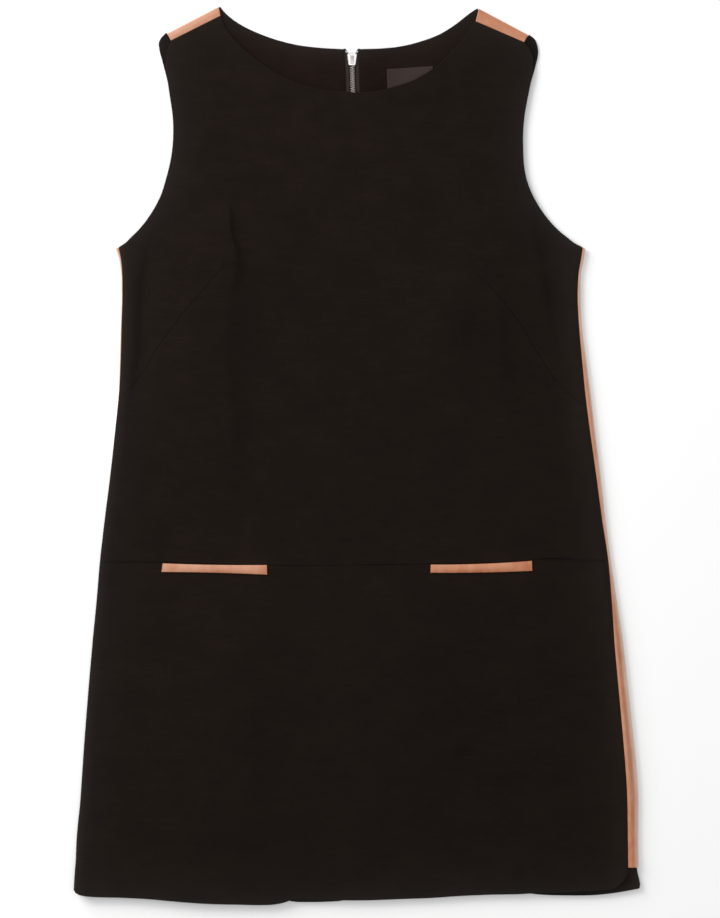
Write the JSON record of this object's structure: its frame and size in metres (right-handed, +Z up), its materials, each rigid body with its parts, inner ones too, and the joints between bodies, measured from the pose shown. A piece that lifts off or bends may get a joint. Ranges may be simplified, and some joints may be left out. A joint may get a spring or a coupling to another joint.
{
  "type": "shift dress",
  "caption": "Sleeveless A-line shift dress laid flat on its back, with a zip up the centre back and contrast side stripes, shoulder strips and pocket welts.",
  "frame": {"origin": "on the surface the dress lies on, at the middle of its bounding box's length and width", "axes": "+Y from the hem towards the neck, +X to the right of a viewer who looks down on the front with the neck at the top, +Z up from the surface, through the back to the front"},
  "size_m": [0.5643, 0.8963, 0.0076],
  "materials": {
    "black_crepe": "matt brown-black crepe with a fine crosswise slub",
    "tan_trim": "smooth tan faux leather, soft satin",
    "zip_tape": "woven polyester zip tape",
    "zip_metal": "bright nickel-plated metal",
    "label": "plain dark woven label"
  },
  "bodies": {
    "dress": {"front_bodice": "black_crepe", "front_skirt": "black_crepe", "back_left": "black_crepe", "back_right": "black_crepe", "side_stripe_left": "tan_trim", "side_stripe_right": "tan_trim", "shoulder_strip_left": "tan_trim", "shoulder_strip_right": "tan_trim", "pocket_welt_left": "tan_trim", "pocket_welt_right": "tan_trim", "zip_tape_left": "zip_tape", "zip_tape_right": "zip_tape", "zip_slider": "zip_metal", "neck_label": "label"},
    "zip_pull": {"zip_pull": "zip_metal"}
  },
  "joints": [
    {"name": "zip_pull_swing", "type": "hinge", "parent": "dress", "child": "zip_pull", "pos_m": [-0.00545, 0.3949, 0.002], "axis": [1, 0, 0], "range_deg": [0, 165]}
  ]
}
